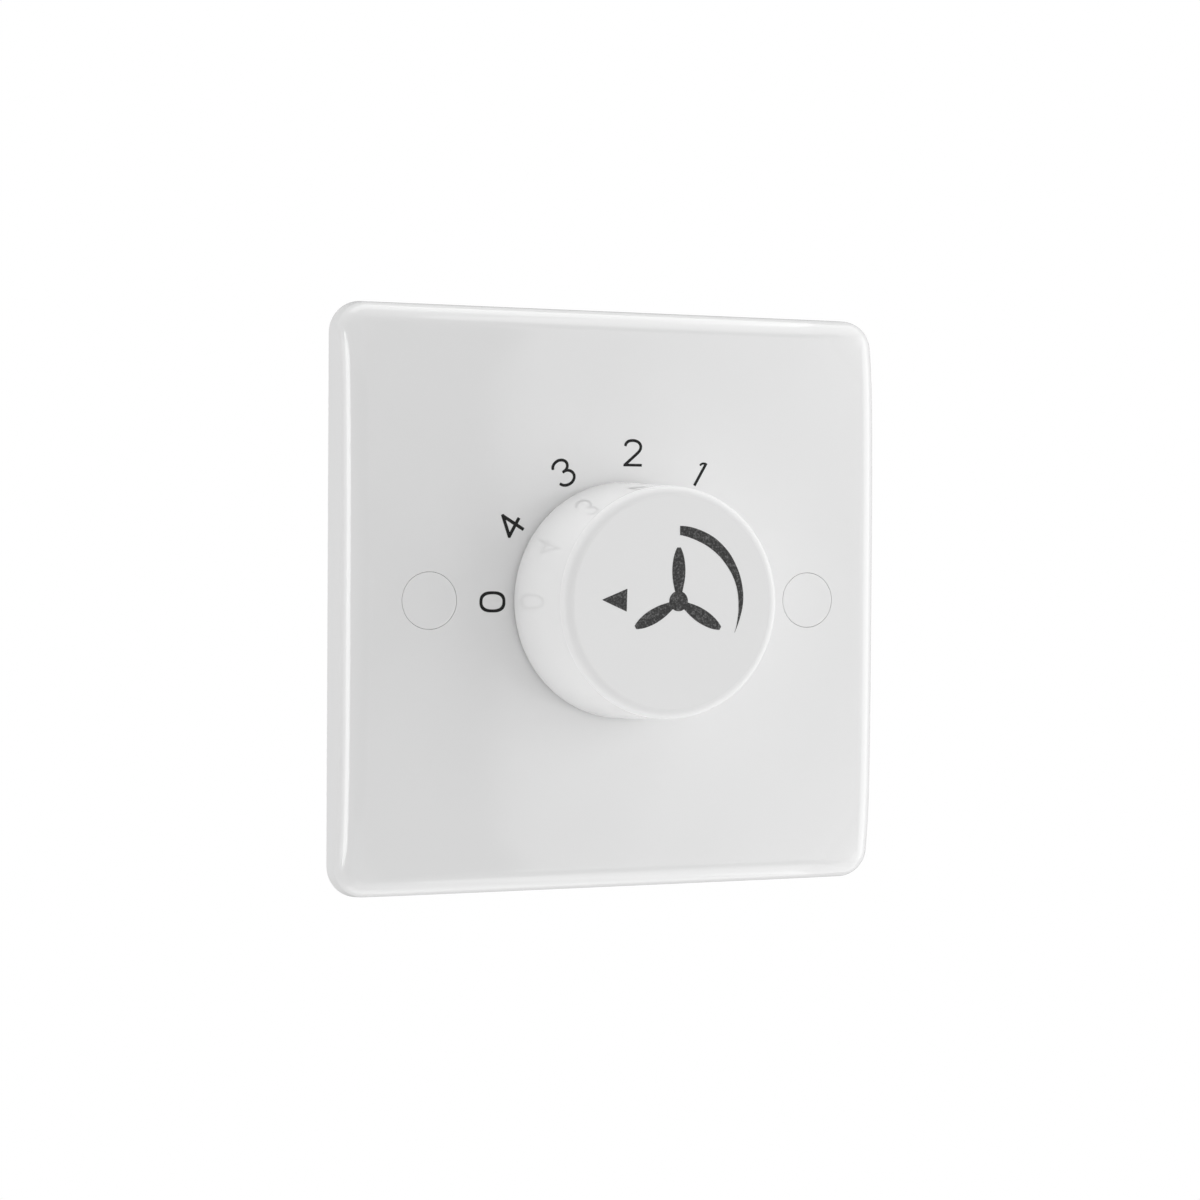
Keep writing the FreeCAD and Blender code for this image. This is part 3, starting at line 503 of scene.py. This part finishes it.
# ---------------------------------------------------------------- screw caps
def make_cap(name, sx, body, node):
    x = sx * FIX_X
    prof = [(0, FACE_Y), (2.0, FACE_Y), (3.6, FACE_Y), (4.02, FACE_Y)]
    prof += [(4.02 + 0.08 * math.sin(a), -7.47 - 0.08 * math.cos(a)) for a in [math.radians(v) for v in (12, 24, 36, 48, 60, 72, 90)]]
    prof += [(4.10, -7.0), (4.06, -6.52), (3.98, -6.45), (3.85, -6.45), (3.85, -4.62), (3.78, -4.55), (3.32, -4.55), (3.25, -4.62), (3.25, -6.45), (0, -6.45)]
    cap = to_object(name, turned(prof, 128, x, 0))
    cuts = bmesh.new()
    for k in range(3):
        a = -math.radians(30 + 120 * k)
        b = block(1.5, 6.0, -6.45, -4.0, -0.6, 0.6, None, a)
        for v in b.verts:
            v.co.x += x * MM
        me = bpy.data.meshes.new("t")
        b.to_mesh(me)
        b.free()
        cuts.from_mesh(me)
        bpy.data.meshes.remove(me)
    boolean(cap, to_object("cuts", cuts), "DIFFERENCE")
    finish_shading(cap, 32.0)
    return place(cap, body, M["cap_white"], [node])


make_cap("screw_cover_left", -1, "cap_left", "screw_cap_left")
make_cap("screw_cover_right", 1, "cap_right", "screw_cap_right")


# ---------------------------------------------------------------- knob
def make_knob():
    slope = (17.41 - 16.43) / 17.5
    half = math.atan(slope)          # the side leans by this much
    face = KNOB_FACE
    cone_r = lambda y: 16.43 + slope * (y + 25.4)
    # soft rim: the bend starts and ends gently between the face and the leaning side
    turn, steps = math.pi / 2 - half, 240
    bend = [(0.0, 0.0)]
    for k in range(steps):
        u = (k + 0.5) / steps
        a = turn * (0.45 * u + 0.55 * (3 * u * u - 2 * u ** 3))
        bend.append((bend[-1][0] + math.cos(a) / steps, bend[-1][1] + math.sin(a) / steps))
    grow = 1.5 / bend[-1][0]
    bend = [(r * grow, y * grow) for r, y in bend[::10]]
    rc = cone_r(face + bend[-1][1]) - bend[-1][0]
    prof = [(0, face)] + [(rc * k / 6.0, face) for k in range(1, 6)]
    prof += [(rc + r, face + y) for r, y in bend]
    y0 = prof[-1][1]
    foot = 0.25
    for k in range(1, 13):
        y = y0 + (-7.9 - foot - y0) * k / 12
        prof.append((cone_r(y), y))
    rf = cone_r(-7.9 - foot) - foot
    prof += [(rf + foot * math.cos(a), -7.9 - foot + foot * math.sin(a)) for a in [math.radians(90) * k / 5 for k in range(1, 6)]]
    # under side and hollow
    prof += [(15.62, -7.9), (15.51, -8.02)]
    in_r = lambda y: 14.33 + (15.51 - 14.33) * (y + 23.4) / 15.51
    prof += [(in_r(y), y) for y in (-12.0, -16.0, -20.0)]
    prof += [(13.36 + 1.0 * math.cos(a), -22.4 - 1.0 * math.sin(a)) for a in [math.radians(90) * k / 6 for k in range(7)]]
    prof += [(10.0, -23.4), (0, -23.4)]
    knob = to_object("knob_moulding", turned(prof, 240))

    feats = bmesh.new()
    turned([(0, -23.9), (5.6, -23.9), (5.6, -12.95), (5.45, -12.8), (0, -12.8)], 96, 0, 0, feats)
    for k in range(6):
        a = -math.radians(30 + 60 * k)
        c, s = math.cos(a), math.sin(a)
        poly = [(5.0, -23.9), (15.2, -23.9), (15.2, -18.75), (5.7, -14.65), (5.0, -14.65)]
        two = []
        for w in (-0.6, 0.6):
            two.append([feats.verts.new(Vector((r * c - w * s, y, r * s + w * c)) * MM) for r, y in poly])
        feats.faces.new(two[0])
        feats.faces.new(two[1][::-1])
        for i in range(5):
            j = (i + 1) % 5
            feats.faces.new((two[0][i], two[0][j], two[1][j], two[1][i]))
    boolean(knob, to_object("feats", feats), "UNION", own=True)
    # D-shaped bore for the spindle, and the slot of its spring
    cuts = bmesh.new()
    ring = []
    lim = math.asin(1.84 / 3.03)
    for k in range(65):
        a = math.pi - lim + (math.pi + 2 * lim) * k / 64
        ring.append((3.03 * math.cos(a), 3.03 * math.sin(a)))
    rings_to_bm([[(x, y, z) for x, z in ring] for y in (-23.2, -11.5)], cuts)
    boolean(knob, to_object("cuts", cuts), "DIFFERENCE")
    boolean(knob, to_object("cuts", block(-2.15, 2.15, -13.25, -11.5, 1.5, 3.9)), "DIFFERENCE")
    finish_shading(knob, 32.0)
    return place(knob, "knob_shaft", M["knob_white"], ["control_knob"])


knob = make_knob()


# ---------------------------------------------------------------- fixing screws, with their thread
def make_screws():
    bm = bmesh.new()
    seg, pitch = 40, 0.6
    for sx in (-1, 1):
        x = sx * FIX_X
        levels = []
        for k in range(1, 13):
            r = 3.2 * k / 12
            levels.append((1.25 - math.sqrt(5.6 ** 2 - r * r), r, 0))
        levels += [(-3.28, 3.25, 0), (-3.16, 3.2, 0), (-1.66, 1.6, 0), (-1.55, 1.55, 0), (-0.85, 1.55, 0), (-0.8, 1.45, 0)]
        y = -0.75
        while y < 20.55:
            levels.append((y, 1.75, 1))
            y += pitch / 10
        levels += [(20.6, 1.5, 0), (21.05, 1.3, 0), (21.2, 1.15, 0)]
        loops = []
        for y, r, th in levels:
            ring = []
            for j in range(seg):
                a = 2 * math.pi * j / seg
                rr = r
                if th:
                    ph = ((y / pitch) - a / (2 * math.pi)) % 1.0
                    tri = abs(ph - 0.5) * 2
                    fade = min(1.0, (y + 0.8) / 1.2, (20.9 - y) / 1.2)
                    rr = 1.41 + 0.34 * max(0.0, min(1.0, (tri - 0.10) / 0.78)) * max(0.15, fade)
                ring.append(bm.verts.new(Vector((x + rr * math.cos(a), y, rr * math.sin(a))) * MM))
            loops.append(ring)
        top = bm.verts.new(Vector((x, -4.35, 0)) * MM)
        for j in range(seg):
            bm.faces.new((top, loops[0][(j + 1) % seg], loops[0][j]))
        for a, b in zip(loops, loops[1:]):
            for j in range(seg):
                k = (j + 1) % seg
                bm.faces.new((a[j], a[k], b[k], b[j]))
        bm.faces.new(loops[-1])
    ob = to_object("fixing_screw_pair", bm)
    cuts = bmesh.new()
    for sx in (-1, 1):
        x = sx * FIX_X
        block(x - 4, x + 4, -5.0, -2.95, -0.45, 0.45, cuts)
    boolean(ob, to_object("cuts", cuts), "DIFFERENCE")
    finish_shading(ob, 26.0, weighted=False)
    return place(ob, "plate", M["zinc_steel"], ["fixing_screws"])


make_screws()


# ---------------------------------------------------------------- print
def smooth(points, n=8, closed=False):
    """A rounded line through the given points."""
    out = []
    m = len(points)
    last = m if closed else m - 1
    for i in range(last):
        p0 = points[(i - 1) % m] if closed or i > 0 else points[0]
        p1, p2 = points[i], points[(i + 1) % m]
        p3 = points[(i + 2) % m] if closed or i + 2 < m else points[-1]
        for k in range(n):
            t = k / n
            out.append(tuple(0.5 * ((2 * b) + (-a + c) * t + (2 * a - 5 * b + 4 * c - d) * t * t + (-a + 3 * b - 3 * c + d) * t ** 3) for a, b, c, d in zip(p0, p1, p2, p3)))
    if not closed:
        out.append(points[-1])
    return out


def stroke(line, width, closed=False):
    """Left and right edges of a pen line of one width."""
    left, right_ = [], []
    m = len(line)
    for i in range(m):
        a = line[(i - 1) % m] if closed or i > 0 else line[i]
        b = line[(i + 1) % m] if closed or i < m - 1 else line[i]
        dx, dy = b[0] - a[0], b[1] - a[1]
        ln = math.hypot(dx, dy)
        nx, ny = -dy / ln, dx / ln
        p = line[i]
        left.append((p[0] + nx * width / 2, p[1] + ny * width / 2))
        right_.append((p[0] - nx * width / 2, p[1] - ny * width / 2))
    return left, right_


def film(bm, polygon, place_point, y0, y1):
    """One thin closed slab of ink over a flat outline."""
    lo = [bm.verts.new(Vector(place_point(p, y0)) * MM) for p in polygon]
    hi = [bm.verts.new(Vector(place_point(p, y1)) * MM) for p in polygon]
    bm.faces.new(lo[::-1])
    bm.faces.new(hi)
    m = len(polygon)
    for i in range(m):
        j = (i + 1) % m
        bm.faces.new((lo[i], lo[j], hi[j], hi[i]))


def film_ring(bm, outer, inner, place_point, y0, y1):
    rings = []
    for pts, y in ((outer, y0), (outer, y1), (inner, y1), (inner, y0)):
        rings.append([bm.verts.new(Vector(place_point(p, y)) * MM) for p in pts])
    m = len(outer)
    for a, b in zip(rings, rings[1:] + rings[:1]):
        for i in range(m):
            j = (i + 1) % m
            bm.faces.new((a[i], a[j], b[j], b[i]))


def pen(line, width, soft=0.35):
    """Outline of a pen line with slightly rounded ends."""
    l, r = stroke(line, width)

    def end(p, q, a, b):
        # p, q the two edge points, a -> b the direction out of the line
        d = math.hypot(b[0] - a[0], b[1] - a[1])
        ux, uy = (b[0] - a[0]) / d, (b[1] - a[1]) / d
        out = []
        for k in range(1, 5):
            t = k / 5
            bulge = soft * width * 0.5 * math.sin(math.pi * t) ** 0.6
            out.append((p[0] + (q[0] - p[0]) * t + ux * bulge, p[1] + (q[1] - p[1]) * t + uy * bulge))
        return out

    tail = end(l[-1], r[-1], line[-2], line[-1])
    head = end(r[0], l[0], line[1], line[0])
    return l + tail + r[::-1] + head


def dial_point(angle):
    a = math.radians(angle)
    ux, uz = math.cos(a), math.sin(a)
    rx_, rz_ = math.sin(a), -math.cos(a)

    def f(p, y):
        return (1.1 + p[0] * rx_ + p[1] * ux, y, -0.1 + p[0] * rz_ + p[1] * uz)
    return f


INK_Y0, INK_Y1 = -7.545, -7.568


def glyph(parts, angle, name):
    f = dial_point(angle)
    base = None
    for kind, data in parts:
        bm = bmesh.new()
        if kind == "ring":
            film_ring(bm, data[0], data[1], f, INK_Y0, INK_Y1)
        else:
            film(bm, data, f, INK_Y0, INK_Y1)
        ob = to_object(name, bm)
        base = ob if base is None else boolean(base, ob, "UNION")
    return base


def make_dial_print():
    obs = []
    # 0: an oval with flattened sides
    def oval(hx, hy, n=2.6, cx=-0.095, cy=21.665):
        out = []
        for k in range(96):
            a = 2 * math.pi * k / 96
            c, s = math.cos(a), math.sin(a)
            out.append((cx + hx * math.copysign(abs(c) ** (2 / n), c), cy + hy * math.copysign(abs(s) ** (2 / n), s)))
        return out
    obs.append(glyph([("ring", (oval(1.53, 1.99), oval(1.09, 1.54, 2.5)))], 180, "d0"))
    # 4
    w = 0.49
    obs.append(glyph([
        ("film", pen([(0.52, 19.86), (0.60, 23.66)], w, 0.15)),
        ("film", pen([(0.72, 23.74), (-1.55, 21.13)], w, 0.25)),
        ("film", pen([(-1.60, 21.25), (1.60, 21.31)], w * 0.98, 0.15)),
    ], 150, "d4"))
    # 3
    top = smooth([(-1.20, 22.77), (-1.00, 23.13), (-0.62, 23.38), (-0.10, 23.50), (0.40, 23.44), (0.85, 23.20), (1.13, 22.80), (1.14, 22.36), (0.92, 21.98), (0.52, 21.75), (-0.02, 21.66)], 5)
    low = smooth([(0.10, 21.70), (0.62, 21.63), (1.04, 21.36), (1.30, 20.92), (1.30, 20.42), (1.02, 20.00), (0.54, 19.74), (0.02, 19.68), (-0.50, 19.78), (-0.95, 20.05), (-1.24, 20.42)], 5)
    obs.append(glyph([("film", pen(top, 0.43)), ("film", pen(low, 0.43))], 120, "d3"))
    # 2
    two = smooth([(-1.00, 22.80), (-0.86, 23.18), (-0.50, 23.48), (0.06, 23.60), (0.68, 23.55), (1.18, 23.29), (1.45, 22.87), (1.42, 22.38), (1.16, 21.97)], 5)
    two += [(0.66, 21.50), (-0.15, 20.80), (-1.06, 20.02)]
    obs.append(glyph([("film", pen(two, 0.43, 0.2)), ("film", [(-1.31, 19.79), (1.65, 19.79), (1.65, 20.19), (-0.70, 20.19), (-1.26, 20.19)])], 90, "d2"))
    # 1
    obs.append(glyph([
        ("film", [(0.03, 19.91), (0.46, 19.91), (0.46, 23.79), (0.03, 23.79)]),
        ("film", pen(smooth([(-0.46, 22.98), (-0.38, 23.26), (-0.16, 23.50), (0.16, 23.62)], 5), 0.32, 0.2)),
    ], 60, "d1"))
    base = obs[0]
    with bpy.context.temp_override(active_object=base, selected_editable_objects=obs, selected_objects=obs):
        bpy.ops.object.join()
    base.name = "dial_print"
    finish_shading(base, 30.0, weighted=False)
    return place(base, "plate", M["dial_ink"])


make_dial_print()


def make_knob_print():
    y0, y1 = KNOB_FACE + 0.005, -25.393
    f = lambda p, y: (p[0], y, p[1])
    parts = []
    # pointer
    bm = bmesh.new()
    film(bm, [(-10.76, 0.44), (-10.66, 0.52), (-7.06, 1.97), (-7.03, 1.90), (-7.10, -1.17), (-7.14, -1.21), (-10.66, 0.34)], f, y0, y1)
    parts.append(to_object("pointer", bm))
    # three blades and the boss between them
    cx, cz = 0.855, 0.235
    half = [(1.0, 0.50), (1.43, 0.585), (2.38, 0.81), (3.0, 0.92), (3.6, 0.985), (4.3, 1.01), (5.0, 0.98), (5.7, 0.89), (6.4, 0.745), (7.0, 0.54), (7.38, 0.37), (7.57, 0.25)]
    line = smooth(half, 4)
    line = [(0.2, 0.45)] + line
    fan = None
    for deg in (90.0, 209.2, -30.8):
        a = math.radians(deg)
        ux, uz = math.cos(a), math.sin(a)
        poly = [(cx + s * ux - w * uz, cz + s * uz + w * ux) for s, w in line]
        poly += [(cx + s * ux + w * uz, cz + s * uz - w * ux) for s, w in reversed(line)]
        bm = bmesh.new()
        film(bm, poly, f, y0, y1)
        ob = to_object("fan", bm)
        fan = ob if fan is None else boolean(fan, ob, "UNION")
    bm = bmesh.new()
    film(bm, [(cx - 0.01 + 1.43 * math.cos(2 * math.pi * k / 64), cz + 1.43 * math.sin(2 * math.pi * k / 64)) for k in range(64)], f, y0, y1)
    parts.append(boolean(fan, to_object("boss", bm), "UNION"))
    # speed arc, square at the top and running out to a point
    outer = smooth([(1.00, 10.85), (2.00, 10.81), (3.38, 10.53), (4.93, 9.98), (6.48, 9.15), (7.86, 8.00), (8.98, 6.70), (9.93, 5.02), (10.53, 3.46), (10.88, 1.74), (10.94, 0.60), (10.845, -0.50), (10.62, -1.53), (10.19, -2.91), (9.63, -4.25)], 6)
    inner = smooth([(1.00, 9.57), (2.00, 9.36), (3.55, 8.84), (5.28, 8.01), (6.83, 6.89), (7.97, 5.71), (9.07, 4.15), (9.76, 2.60), (10.09, 1.22), (10.20, -0.15), (10.18, -1.36), (10.05, -2.40), (9.86, -3.43), (9.60, -4.27)], 6)
    bm = bmesh.new()
    film(bm, outer + inner[::-1], f, y0, y1)
    parts.append(to_object("arc", bm))
    base = parts[0]
    with bpy.context.temp_override(active_object=base, selected_editable_objects=parts, selected_objects=parts):
        bpy.ops.object.join()
    base.name = "knob_print"
    finish_shading(base, 30.0, weighted=False)
    return place(base, "knob_shaft", M["knob_ink"])


make_knob_print()

# ---------------------------------------------------------------- carried-over CAD nodes
FINISH = {
    "fixing_screws": "zinc_steel", "lock_washer": "zinc_steel", "switch_screws": "zinc_steel",
    "terminal_screws": "zinc_steel", "case_screws": "zinc_steel",
    "knob_spring_clip": "spring_steel", "spindle_circlip": "spring_steel", "detent_spring": "spring_steel",
    "spindle": "shaft_nylon", "detent_rotor": "shaft_nylon",
    "switch_bushing": "brass", "spindle_nut": "brass", "fixed_contacts": "brass", "terminal_clamps": "brass",
    "wiper_contact": "bronze", "switch_body": "switch_black", "switch_wafer": "wafer_brown",
    "capacitor_large": "film_yellow", "capacitor_small": "film_yellow", "surge_resistor": "cement_white",
    "thermal_fuse": "fuse_metal", "bleed_resistors": "resistor_tan", "terminal_block": "terminal_grey",
    "circuit_board": "board_tan", "module_case": "case_ivory",
    "face_plate": "plate_white", "screw_cap_left": "cap_white", "screw_cap_right": "cap_white",
    "control_knob": "knob_white",
}
for node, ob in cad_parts.items():
    s = FINISH[node]
    if not ob.material_slots:
        ob.data.materials.append(M[s])
    for sl in ob.material_slots:
        sl.material = M[s]

# ---------------------------------------------------------------- stage: pale floor, soft light
scene = bpy.context.scene
scene.view_settings.view_transform = "Standard"
scene.view_settings.look = "None"


def make_floor():
    bm = bmesh.new()
    n = 24
    for i in range(n + 1):
        for j in range(n + 1):
            bm.verts.new(((i / n - 0.5) * 12, (j / n - 0.5) * 12, -0.55))
    bm.verts.ensure_lookup_table()
    for i in range(n):
        for j in range(n):
            k = i * (n + 1) + j
            bm.faces.new((bm.verts[k], bm.verts[k + n + 1], bm.verts[k + n + 2], bm.verts[k + 1]))
    ob = to_object("floor", bm)
    m = bpy.data.materials.new("floor")
    m.use_nodes = True
    b = next(n_ for n_ in m.node_tree.nodes if n_.type == "BSDF_PRINCIPLED")
    b.inputs["Base Color"].default_value = (0.0, 0.0, 0.0, 1)
    b.inputs["Specular IOR Level"].default_value = 0.0
    b.inputs["Emission Color"].default_value = (1, 1, 1, 1)
    b.inputs["Emission Strength"].default_value = 1.0
    ob.data.materials.append(m)
    ob.visible_diffuse = False
    ob.visible_glossy = False
    ob.visible_transmission = False
    ob.visible_shadow = False
    return ob


make_floor()

world = bpy.data.worlds.new("world")
scene.world = world
world.use_nodes = True
nt = world.node_tree
bg = next(n_ for n_ in nt.nodes if n_.type == "BACKGROUND")
out = next(n_ for n_ in nt.nodes if n_.type == "OUTPUT_WORLD")
bg.inputs["Color"].default_value = (1, 1, 1, 1)
bg.inputs["Strength"].default_value = 0.43
seen = nt.nodes.new("ShaderNodeBackground")
seen.inputs["Color"].default_value = (1, 1, 1, 1)
seen.inputs["Strength"].default_value = 1.0
path = nt.nodes.new("ShaderNodeLightPath")
mix = nt.nodes.new("ShaderNodeMixShader")
nt.links.new(path.outputs["Is Camera Ray"], mix.inputs["Fac"])
nt.links.new(bg.outputs["Background"], mix.inputs[1])
nt.links.new(seen.outputs["Background"], mix.inputs[2])
nt.links.new(mix.outputs["Shader"], out.inputs["Surface"])


def softbox(name, azimuth, elevation, distance, width, height, radiance):
    """Area light aimed at the plate; azimuth 0 is straight in front, positive to the right; radiance in scene units."""
    a, e = math.radians(azimuth), math.radians(elevation)
    d = Vector((math.sin(a) * math.cos(e), -math.cos(a) * math.cos(e), math.sin(e)))
    ld = bpy.data.lights.new(name, "AREA")
    ld.shape = "RECTANGLE"
    ld.size = width
    ld.size_y = height
    ld.energy = radiance * math.pi * width * height
    ob = bpy.data.objects.new(name, ld)
    scene.collection.objects.link(ob)
    ob.location = d * distance
    ob.rotation_mode = "QUATERNION"
    ob.rotation_quaternion = d.to_track_quat("Z", "Y")
    ob.visible_camera = False
    return ob


def soft(name, az0, az1, el0, el1, radiance, distance=1.3):
    """Softbox that fills a span of azimuth and elevation."""
    w = 2 * distance * math.tan(math.radians((az1 - az0) / 2))
    h = 2 * distance * math.tan(math.radians((el1 - el0) / 2))
    return softbox(name, (az0 + az1) / 2, (el0 + el1) / 2, distance, w, h, radiance)


soft("light_back_left", -172, -140, -20, 20, 0.10)
soft("light_left_far", -112, -97, -14, 12, 1.2)
soft("light_left", -97, -76, -17, 15, 4.2)
soft("light_front_right", 19.5, 42, -24, 24, 0.95)
soft("light_front_high", -50, -5, 14, 42, 0.24)
soft("light_front_low", -50, -5, -42, -14, 0.24)
soft("light_right", 56, 94, -42, 42, 0.9)
soft("light_right_high", 40, 100, 42, 66, 1.0)
soft("light_right_low", 40, 100, -66, -42, 0.8)
softbox("light_right_near", 70, 0, 0.42, 0.40, 0.50, 0.6)
softbox("light_above", 10, 65, 0.45, 0.50, 0.25, 0.45)
softbox("light_below", 10, -65, 0.45, 0.50, 0.25, 0.72)
softbox("light_top", 180, 80, 1.3, 1.5, 0.75, 1.5)
softbox("light_bottom", 180, -80, 1.3, 1.5, 0.75, 1.0)
